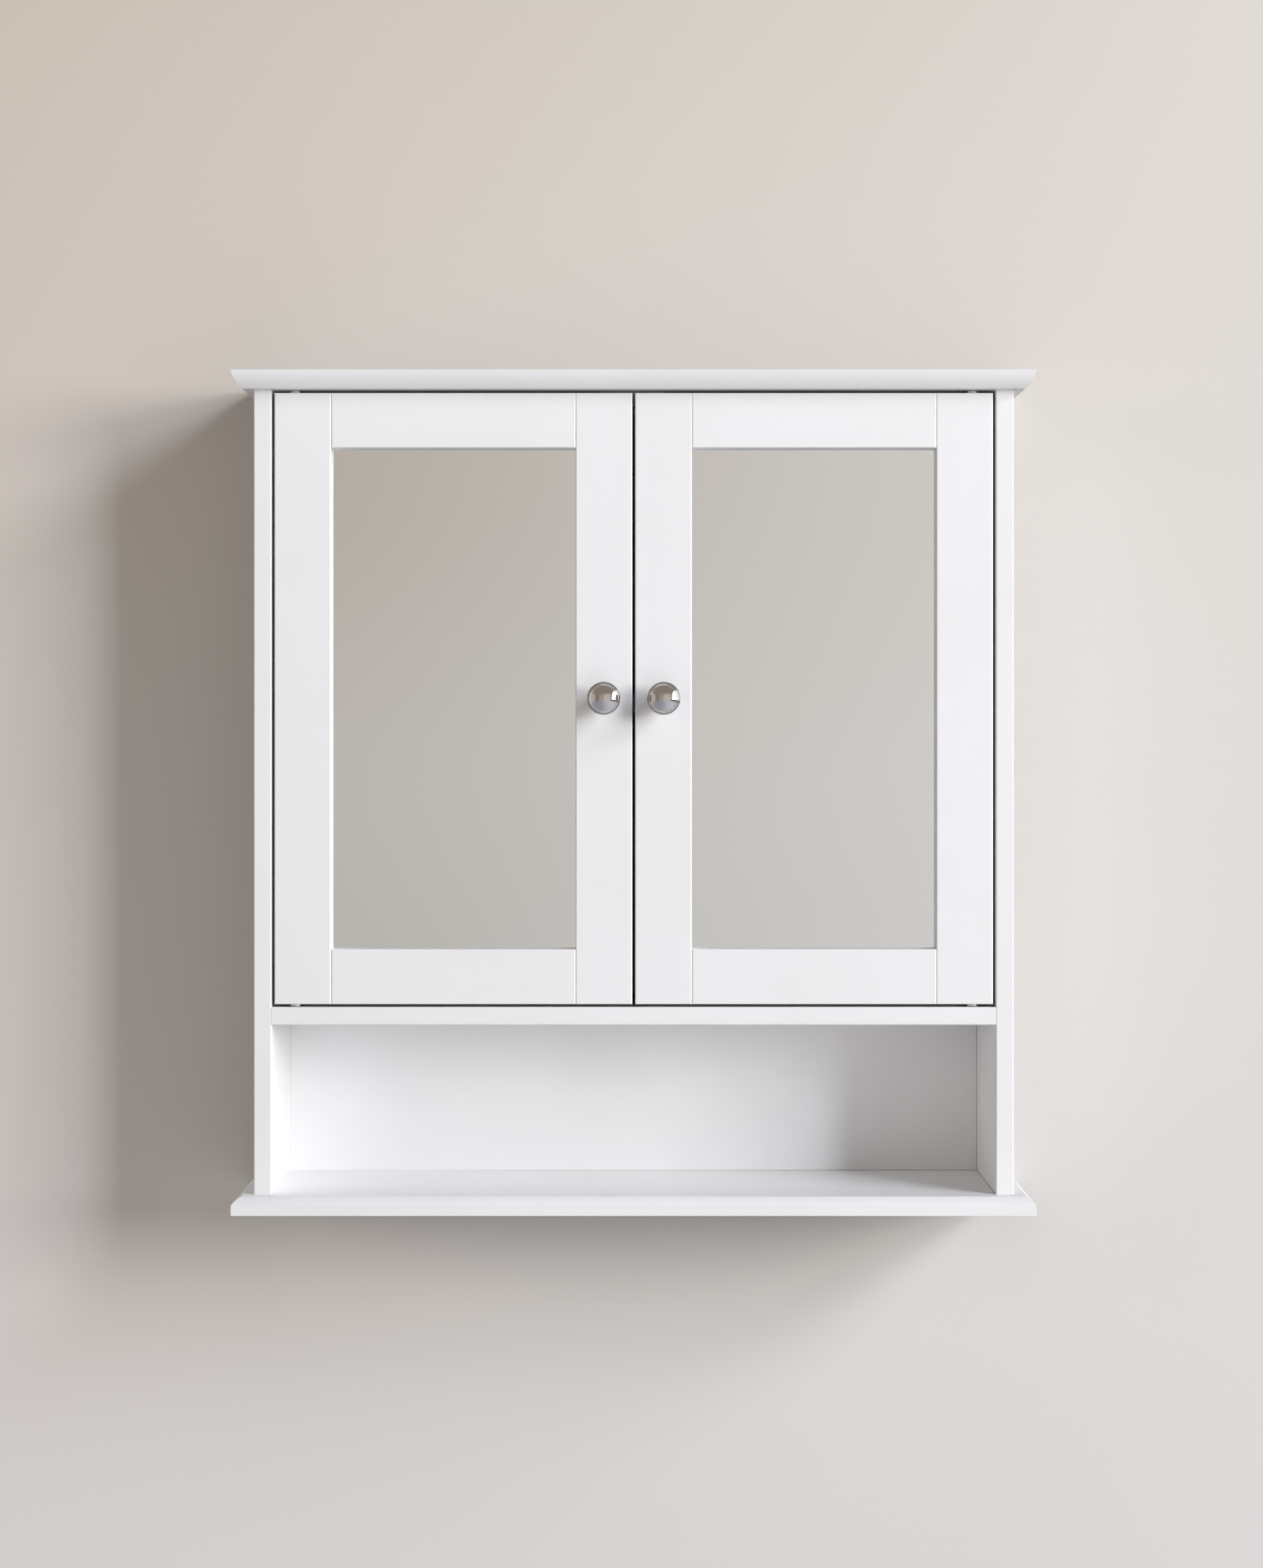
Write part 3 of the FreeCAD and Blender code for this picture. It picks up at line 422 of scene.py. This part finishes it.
def silvered_glass(look):
    """Mirror: bright silver with a wiped haze on its face, green glass at its cut edges."""
    finish = Finish("silvered mirror glass")
    depth = finish.split(finish.where)[1]
    behind = finish.ramp(depth, MIRROR_FACE + EDGE_FROM, MIRROR_FACE + EDGE_TO)
    wiped = finish.noise(finish.where, 16.0, 4.0, 0.6, (1.0, 1.0, 0.35))
    ripple = finish.noise(finish.where, 9.0, 1.0)
    haze = finish.ramp(wiped, 0.42, 0.7, 0.01, look.haze)
    return finish.surface(
        base_color=finish.mix(behind, look.silver, look.edge),
        metallic=1.0,
        roughness=finish.ramp(behind, 0.0, 1.0, haze, 0.25),
        normal=finish.bump(ripple, 0.00001, 0.3),
    )


def polished_chrome(look):
    """Chrome on a turned knob: faint rings from the lathe under the plating, and painted shade on the rim
    outside the crease.
    """
    finish = Finish("polished chrome")
    turning = finish.add("ShaderNodeAttribute", attribute_name="turning").outputs["Vector"]
    rings = finish.noise(turning, 5200.0, 2.0)
    smears = finish.noise(finish.where, 140.0, 3.0)
    worn = tuple(0.95 * part for part in look.chrome)
    bright = finish.mix(finish.ramp(smears, 0.3, 0.7), look.chrome, worn)
    # Painted shade: the rim outside the crease takes the darker rim colour
    outside = finish.ramp(finish.split(turning)[0], RIM_SHADE_FROM, RIM_SHADE_TO)
    return finish.surface(
        base_color=finish.mix(outside, bright, look.rim),
        metallic=1.0,
        roughness=finish.ramp(smears, 0.35, 0.75, look.chrome_roughness, look.chrome_roughness + 0.04),
        normal=finish.bump(rings, 0.000002, 0.25),
    )


def plated_steel(look):
    """Zinc-plated steel: a fine mosaic of brighter and duller crystals with brushed scratches."""
    finish = Finish("zinc plated steel")
    crystals = finish.add("ShaderNodeTexVoronoi", {"Vector": finish.where, "Scale": 1500.0})
    speck = finish.split(crystals.outputs["Color"])[0]
    scratches = finish.noise(finish.where, 1900.0, 2.0, 0.6, (1.0, 1.0, 0.12))
    return finish.surface(
        base_color=finish.mix(speck, look.steel, look.steel_dull),
        metallic=1.0,
        roughness=finish.ramp(scratches, 0.3, 0.7, 0.24, 0.42),
        normal=finish.bump(scratches, 0.00001, 0.5),
    )


def beech_wood(look):
    """Beech dowel: straight grain with short darker flecks."""
    finish = Finish("beech dowel")
    grain = finish.noise(finish.where, 420.0, 3.0, 0.6, (0.12, 1.0, 1.0))
    flecks = finish.noise(finish.where, 1400.0, 2.0, 0.5, (0.3, 1.0, 1.0))
    tone = finish.mix(finish.ramp(grain, 0.35, 0.7), look.beech, tuple(0.82 * part for part in look.beech))
    return finish.surface(
        base_color=finish.mix(finish.ramp(flecks, 0.6, 0.72), tone, look.beech_ray),
        roughness=finish.ramp(grain, 0.3, 0.7, 0.55, 0.7),
        normal=finish.bump(grain, 0.00008, 0.6),
    )


def moulded_plastic(name, colour, roughness):
    """Moulded plastic with a spark-eroded grain and slow flow marks."""
    finish = Finish(name)
    erosion = finish.noise(finish.where, 2600.0, 2.0)
    flow = finish.noise(finish.where, 130.0, 2.0, 0.5, (1.0, 0.3, 1.0))
    darker = tuple(0.93 * part for part in colour)
    return finish.surface(
        base_color=finish.mix(finish.ramp(flow, 0.35, 0.7), colour, darker),
        roughness=finish.ramp(erosion, 0.3, 0.7, roughness, roughness + 0.14),
        normal=finish.bump(erosion, 0.00002, 0.6),
    )


def sintered_ferrite(look):
    """Ferrite magnet: dark and grainy with paler dust in the pores."""
    finish = Finish("sintered ferrite")
    pores = finish.noise(finish.where, 3100.0, 3.0, 0.7)
    dust = tuple(min(1.0, 2.6 * part) for part in look.ferrite)
    return finish.surface(
        base_color=finish.mix(finish.ramp(pores, 0.55, 0.75), look.ferrite, dust),
        roughness=finish.ramp(pores, 0.3, 0.7, 0.5, 0.75),
        normal=finish.bump(pores, 0.00004, 0.7),
    )


def dress(names, material):
    """Give a finish to pieces of the packed model."""
    for name in names:
        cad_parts[name].material_slots[0].material = material


def of_both_doors(pieces):
    """Return the names of pieces on the left door and on the right door."""
    return ["%s_door_%s" % (hand, piece) for hand in HANDS for piece in pieces]


# Knobs
def arc(start, end, radius, count, hollow=False):
    """Points of the short arc between two points of a profile, without the last.

    The centre lies on the chord's middle normal at the root of radius squared less half the chord squared,
    to the left of the way from start to end, or to the right where the arc is hollow.
    The points stand at even angles round it.
    """
    start = np.array(start)
    chord = np.array(end) - start
    half = np.hypot(*chord) / 2
    side = -1.0 if hollow else 1.0
    normal = np.array([-chord[1], chord[0]]) / (2 * half)
    centre = start + chord / 2 + side * normal * math.sqrt(radius ** 2 - half ** 2)
    first = np.arctan2(*(start - centre)[::-1])
    sweep = side * 2 * math.asin(half / radius)
    angles = first + sweep * np.arange(count) / count
    return centre + radius * np.stack([np.cos(angles), np.sin(angles)], axis=1)


def knob_profile(sizes):
    """Half section of the knob as radius and height, from the foot's middle to the tip of the dome.

    Foot with two small roundings, hollow quarter circle to the neck, straight neck, swelling back of the
    ball, short upright rim, rounding to the crease, fine hollow, and the dome as one arc up to the axis.
    """
    foot, low, edge = sizes.base_radius, sizes.base_height, sizes.base_rounding
    neck, cove = sizes.neck_radius, sizes.neck_cove
    rim = sizes.rim_radius
    crease = np.array([sizes.crease_radius, sizes.crease_height])
    rise = sizes.tip_height - sizes.crease_height
    dome = (sizes.crease_radius ** 2 / rise + rise) / 2
    outer = crease + np.array([0.35, -0.9]) * sizes.crease_width
    inner = crease + np.array([-0.9, 0.62]) * sizes.crease_width
    parts = [
        [(0.0, 0.0), ((foot - edge) / 2, 0.0)],
        arc((foot - edge, 0.0), (foot, edge), edge, 6),
        arc((foot, low - edge), (foot - edge, low), edge, 6),
        arc((neck + cove, low), (neck, low + cove), cove, 10, hollow=True),
        [(neck, low + cove), (neck, (low + cove + sizes.neck_height) / 2)],
        arc((neck, sizes.neck_height), (rim, sizes.rim_low), sizes.back_radius, 26),
        [(rim, sizes.rim_low), (rim, (sizes.rim_low + sizes.rim_top) / 2)],
        arc((rim, sizes.rim_top), outer, sizes.rim_rounding, 14),
        arc(outer, inner, sizes.crease_width, 6, hollow=True),
        arc(inner, (0.0, sizes.tip_height), dome, 40),
        [(0.0, sizes.tip_height)],
    ]
    return np.concatenate([np.asarray(part, float) for part in parts])


def turned_mesh(name, profile, axis, face, count=128):
    """Mesh of a profile turned about an axis that runs out of the door.

    Point i, j stands at radius i and height i of the profile and at angle j of a full turn: the radius
    times the angle's cosine to the right of the axis, times its sine above it, and the height in front of
    the face. The two ends of the profile on the axis are single points that close the surface.
    """
    angles = np.arange(count) * math.tau / count
    ring = profile[1:-1]
    radius = ring[:, :1]
    across = axis.x + radius * np.cos(angles)
    up = axis.z + radius * np.sin(angles)
    depth = np.broadcast_to(face - ring[:, 1:], across.shape)
    points = np.stack([across, depth, up], axis=2).reshape(-1, 3)
    ends = [(axis.x, face - profile[0, 1], axis.z), (axis.x, face - profile[-1, 1], axis.z)]
    points = np.concatenate([points, ends])
    rows, columns = np.meshgrid(np.arange(len(ring) - 1), np.arange(count), indexing="ij")
    after = (columns + 1) % count
    here, above = rows * count, (rows + 1) * count
    quads = np.stack([here + columns, here + after, above + after, above + columns], axis=2).reshape(-1, 4)
    column = np.arange(count)
    foot, tip = len(ring) * count, len(ring) * count + 1
    last = (len(ring) - 1) * count
    foot_fan = np.stack([np.full(count, foot), (column + 1) % count, column], axis=1)
    tip_fan = np.stack([np.full(count, tip), last + column, last + (column + 1) % count], axis=1)
    mesh = bpy.data.meshes.new(name)
    mesh.from_pydata(points.tolist(), [], quads.tolist() + foot_fan.tolist() + tip_fan.tolist())
    mesh.shade_smooth()
    along = np.repeat(ring, count, axis=0)
    along = np.concatenate([along, profile[[0, -1]]])
    turning = np.stack([along[:, 0], along[:, 1], np.zeros(len(along))], axis=1)
    mesh.attributes.new("turning", "FLOAT_VECTOR", "POINT").data.foreach_set("vector", turning.ravel())
    mesh.update()
    return mesh


class CABINET_OT_knobs(bpy.types.Operator):
    """Turn the two chrome knobs"""

    bl_idname = "cabinet.knobs"
    bl_label = "Knobs"

    def execute(self, context):
        profile = knob_profile(context.scene.cabinet_knob)
        chrome = polished_chrome(context.scene.cabinet_metal)
        for hand in HANDS:
            node = "%s_door_knob" % hand
            low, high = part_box(node)
            mesh = turned_mesh("%s_turned_knob" % hand, profile, (low + high) / 2, high.y)
            mesh.materials.append(chrome)
            knob = bpy.data.objects.new("%s_turned_knob" % hand, mesh)
            context.collection.objects.link(knob)
            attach(knob, "%s_door" % hand)
            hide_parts(node)
        dress(of_both_doors(["knob"]), chrome)
        return {"FINISHED"}


class CABINET_OT_paint(bpy.types.Operator):
    """Paint the boards of the cabinet and the frames of the doors"""

    bl_idname = "cabinet.paint"
    bl_label = "Painted boards"

    def execute(self, context):
        paint = satin_paint(context.scene.cabinet_paint)
        dress(PAINTED_BOARDS, paint)
        dress(of_both_doors(DOOR_BARS), paint)
        return {"FINISHED"}


class CABINET_OT_hardboard(bpy.types.Operator):
    """Finish the back of the cabinet and the boards behind the mirrors"""

    bl_idname = "cabinet.hardboard"
    bl_label = "Hardboard"

    def execute(self, context):
        look = context.scene.cabinet_board
        dress(["back_panel"], coated_hardboard(look))
        dress(of_both_doors(["backing_board"]), brown_hardboard(look))
        return {"FINISHED"}


class CABINET_OT_mirrors(bpy.types.Operator):
    """Silver the two mirrors"""

    bl_idname = "cabinet.mirrors"
    bl_label = "Mirrors"

    def execute(self, context):
        dress(of_both_doors(["mirror"]), silvered_glass(context.scene.cabinet_mirror))
        return {"FINISHED"}


class CABINET_OT_fittings(bpy.types.Operator):
    """Plate the screws, clips, strike plates and pivot pins"""

    bl_idname = "cabinet.fittings"
    bl_label = "Steel fittings"

    def execute(self, context):
        steel = plated_steel(context.scene.cabinet_metal)
        dress(CARCASS_SCREWS, steel)
        dress(of_both_doors(DOOR_STEEL), steel)
        return {"FINISHED"}


class CABINET_OT_small_parts(bpy.types.Operator):
    """Finish the dowels, bushes, shelf pins and the catch"""

    bl_idname = "cabinet.small_parts"
    bl_label = "Dowels, bushes and catch"

    def execute(self, context):
        look = context.scene.cabinet_small
        wood = beech_wood(look)
        dress(CARCASS_DOWELS, wood)
        dress(of_both_doors(["frame_dowels"]), wood)
        dress(["pivot_bushes", "shelf_pins"], moulded_plastic("white nylon", look.nylon, 0.38))
        dress(["catch_body"], moulded_plastic("grey catch housing", look.housing, 0.42))
        dress(["catch_magnets"], sintered_ferrite(look))
        return {"FINISHED"}


# Studio
def rectangle(left, right, first, last):
    """Corners of a rectangle in its own plane, in the order of its edge."""
    return [(left, first), (right, first), (right, last), (left, last)]


def plane(name, corners):
    """Flat four-cornered sheet of the studio."""
    mesh = bpy.data.meshes.new(name)
    mesh.from_pydata(corners, [], [(0, 1, 2, 3)])
    sheet = bpy.data.objects.new(name, mesh)
    bpy.context.collection.objects.link(sheet)
    return sheet


def plaster(finish, tone, grain):
    """Plain pale plaster, a little uneven, with so many grains in a metre."""
    cloud = finish.noise(finish.where, 1.7, 3.0)
    skin = finish.noise(finish.where, grain, 2.0)
    return finish.surface(
        base_color=finish.mix(finish.ramp(cloud, 0.35, 0.65, 0.0, 0.015), tone, BLACK),
        roughness=finish.ramp(skin, 0.3, 0.7, 0.85, 0.95),
        normal=finish.bump(skin, 0.0004, 0.12),
        specular_ior_level=0.1,
    )


def wall_finish(look):
    """Plaster that only the camera in front of the wall sees, so that it hides nothing from behind.

    Its tone runs between the four colours of its corners, which paint light and shade across it, and is
    made a little darker beside the cabinet's lit side, as painted shade against the light that side throws
    on it.
    """
    finish = Finish("wall plaster")
    across, _, up = finish.split(finish.where)
    # Painted shade on the wall beside the cabinet's right side, within the cabinet's height
    beside = finish.ramp(across, 0.36, 0.262, 0.0, WALL_PAINTED_SHADE)
    for bound in (finish.ramp(up, 0.06, -0.03), finish.ramp(up, -0.6, -0.5), finish.ramp(across, 0.0, 0.2)):
        beside = finish.math("MULTIPLY", beside, bound)
    # Painted light and shade across the wall from its four corner colours
    right = finish.ramp(across, WALL_LEFT, WALL_RIGHT)
    low = finish.mix(right, look.wall_low_left, look.wall_low_right)
    high = finish.mix(right, look.wall_high_left, look.wall_high_right)
    tone = finish.mix(finish.ramp(up, WALL_LOW, WALL_HIGH), low, high)
    plaster(finish, finish.mix(beside, tone, BLACK), 60.0)
    seen = finish.add("ShaderNodeLightPath").outputs["Is Camera Ray"]
    back = finish.add("ShaderNodeNewGeometry").outputs["Backfacing"]
    shown = finish.math("SUBTRACT", seen, back)
    clear = finish.add("ShaderNodeBsdfTransparent").outputs[0]
    both = finish.add("ShaderNodeMixShader", {0: shown, 1: clear, 2: finish.shader.outputs[0]}).outputs[0]
    finish.join(both, finish.tree.nodes["Material Output"].inputs["Surface"])
    return finish.material


def lamp(name, turns, rises, distance, colour, light, context):
    """Rectangular lamp between two angles to the right and two angles above the horizon.

    The colour is what the lamp gives a white surface that faces it. The power that does this is pi squared
    times the distance squared.
    """
    turn, rise = (math.radians(sum(pair) / 2) for pair in (turns, rises))
    level = math.cos(rise)
    away = Vector((math.sin(turn) * level, -math.cos(turn) * level, math.sin(rise)))
    data = bpy.data.lights.new(name, "AREA")
    data.shape = "RECTANGLE"
    data.size = 2 * distance * math.tan(math.radians(turns[1] - turns[0]) / 2)
    data.size_y = 2 * distance * math.tan(math.radians(rises[1] - rises[0]) / 2)
    data.energy = light * math.pi ** 2 * distance ** 2
    data.color = colour
    holder = bpy.data.objects.new(name, data)
    holder.location = LAMP_AIM + away * distance
    holder.rotation_euler = away.to_track_quat("Z", "Y").to_euler()
    holder.visible_camera = False
    holder.visible_glossy = False
    context.collection.objects.link(holder)


def window_field(room, x, z, left, heights, blur):
    """Soft-edged field to the right of left and between two heights of the view direction."""
    inside = room.ramp(x, left - blur, left + blur)
    inside = room.math("MULTIPLY", inside, room.ramp(z, heights[0] - blur, heights[0] + blur))
    return room.math("MULTIPLY", inside, room.ramp(z, heights[1] + blur, heights[1] - blur))


def reflected_room(room, direction):
    """Room that metal and mirrors show: pale walls, a darker ceiling, a cool floor and a window."""
    x, _, z = room.split(direction)
    side = room.ramp(x, -0.2, 0.2)
    upper = room.mix(side, *ROOM_UPPER)
    lower = room.mix(side, *ROOM_LOWER)
    colour = room.mix(room.ramp(z, -0.16, 0.16), lower, upper)
    eye_level = room.math("MULTIPLY", room.ramp(z, -0.11, -0.01), room.ramp(z, 0.09, -0.01, 0.0, 0.1))
    colour = room.mix(eye_level, colour, ROOM_EYE_LEVEL)
    colour = room.mix(room.ramp(x, -0.6, -0.95), colour, ROOM_FAR_LEFT)
    corner = room.math("MULTIPLY", room.ramp(x, -0.98, -0.68), room.ramp(x, -0.38, -0.66, 0.0, 0.8))
    colour = room.mix(corner, colour, ROOM_CORNER)
    colour = room.mix(room.ramp(z, 0.3, 0.62), colour, ROOM_CEILING)
    floor = room.mix(room.ramp(x, -0.5, 0.75), *ROOM_FLOOR)
    colour = room.mix(room.ramp(z, -0.2, -0.5), colour, floor)
    frame_bar = window_field(room, x, z, 0.74, (-0.26, 0.55), 0.035)
    colour = room.mix(frame_bar, colour, WINDOW_FRAME)
    return room.mix(window_field(room, x, z, 0.815, (-0.13, 0.62), 0.025), colour, WINDOW_PANE)


def studio_world(look):
    """Soft light of the room, what shines in metal and glass, and a pale ground behind everything."""
    world = bpy.data.worlds.new("studio")
    world.use_nodes = True
    room = Recipe(world.node_tree)
    room.tree.nodes.clear()
    direction = room.add("ShaderNodeTexCoord").outputs["Generated"]
    across, ahead, height = room.split(direction)
    low = room.math("MULTIPLY", room.ramp(height, 0.03, -0.1), room.ramp(ahead, -0.3, -0.7))
    low = room.math("MULTIPLY", low, room.ramp(across, -0.15, 0.15, 0.4, 1.0))
    high = room.math("MULTIPLY", room.ramp(height, 0.44, 0.56), room.ramp(across, -0.2, 0.2))
    air = room.mix(high, room.mix(low, BLACK, look.air_below), look.air_above)
    path = room.add("ShaderNodeLightPath").outputs
    mirrored = room.math("MAXIMUM", path["Is Glossy Ray"], path["Is Transmission Ray"])
    seen = room.mix(mirrored, air, reflected_room(room, direction))
    seen = room.mix(path["Is Camera Ray"], seen, SURROUND)
    shine = room.add("ShaderNodeBackground", {0: seen, 1: 1.0}).outputs[0]
    room.add("ShaderNodeOutputWorld", {0: shine})
    return world


class CABINET_OT_studio(bpy.types.Operator):
    """Set up wall, floor, lamps and camera"""

    bl_idname = "cabinet.studio"
    bl_label = "Studio"

    def execute(self, context):
        look = context.scene.cabinet_studio
        ground = CABINET_BOX[0].z - look.floor_drop
        left, right = -STUDIO_HALF, STUDIO_HALF
        wall = plane("wall", [(x, WALL_GAP, z) for x, z in rectangle(left, right, ground, WALL_TOP)])
        wall.data.materials.append(wall_finish(look))
        floor = plane("floor", [(x, y, ground) for x, y in rectangle(left, right, FLOOR_FRONT, FLOOR_REAR)])
        floor.data.materials.append(plaster(Finish("pale floor"), look.floor, 40.0))
        floor.visible_diffuse = False
        floor.visible_glossy = False
        floor.visible_shadow = False
        for name, turns, rises, distance, colour in LAMPS:
            lamp(name, turns, rises, distance, colour, look.light, context)
        context.scene.world = studio_world(look)
        data = bpy.data.cameras.new("camera")
        data.lens = look.lens
        data.sensor_width = CAMERA_SENSOR
        data.shift_x, data.shift_y = CAMERA_SHIFT
        camera = bpy.data.objects.new("camera", data)
        camera.location = look.eye
        camera.rotation_euler = (math.pi / 2, 0.0, 0.0)
        context.collection.objects.link(camera)
        context.scene.camera = camera
        context.scene.view_settings.view_transform = "Standard"
        return {"FINISHED"}


class CABINET_PT_sidebar(bpy.types.Panel):
    """Steps that finish the cabinet, in order"""

    bl_idname = "CABINET_PT_sidebar"
    bl_label = "Mirror cabinet"
    bl_space_type = "VIEW_3D"
    bl_region_type = "UI"
    bl_category = "Cabinet"

    def draw(self, context):
        column = self.layout.column()
        for step in STEPS:
            column.operator(step.bl_idname)
        for label, group in LOOKS.items():
            column.separator()
            column.label(text=group.__doc__.split(".")[0])
            settings = getattr(context.scene, label)
            for name in group.__annotations__:
                column.prop(settings, name)


LOOKS = {
    "cabinet_knob": KnobSizes,
    "cabinet_paint": PaintLook,
    "cabinet_board": BoardLook,
    "cabinet_mirror": MirrorLook,
    "cabinet_metal": MetalLook,
    "cabinet_small": SmallPartsLook,
    "cabinet_studio": StudioLook,
}
STEPS = (
    CABINET_OT_knobs,
    CABINET_OT_paint,
    CABINET_OT_hardboard,
    CABINET_OT_mirrors,
    CABINET_OT_fittings,
    CABINET_OT_small_parts,
    CABINET_OT_studio,
)


def register():
    """Make the classes and their settings known."""
    for label, group in LOOKS.items():
        bpy.utils.register_class(group)
        setattr(bpy.types.Scene, label, bpy.props.PointerProperty(type=group))
    for step in STEPS:
        bpy.utils.register_class(step)
    bpy.utils.register_class(CABINET_PT_sidebar)


def unregister():
    """Take the classes and their settings away again."""
    bpy.utils.unregister_class(CABINET_PT_sidebar)
    for step in reversed(STEPS):
        bpy.utils.unregister_class(step)
    for label, group in LOOKS.items():
        delattr(bpy.types.Scene, label)
        bpy.utils.unregister_class(group)


def main():
    """Finish the cabinet step by step."""
    register()
    bpy.ops.cabinet.knobs()
    bpy.ops.cabinet.paint()
    bpy.ops.cabinet.hardboard()
    bpy.ops.cabinet.mirrors()
    bpy.ops.cabinet.fittings()
    bpy.ops.cabinet.small_parts()
    bpy.ops.cabinet.studio()


if __name__ == "__main__":
    main()
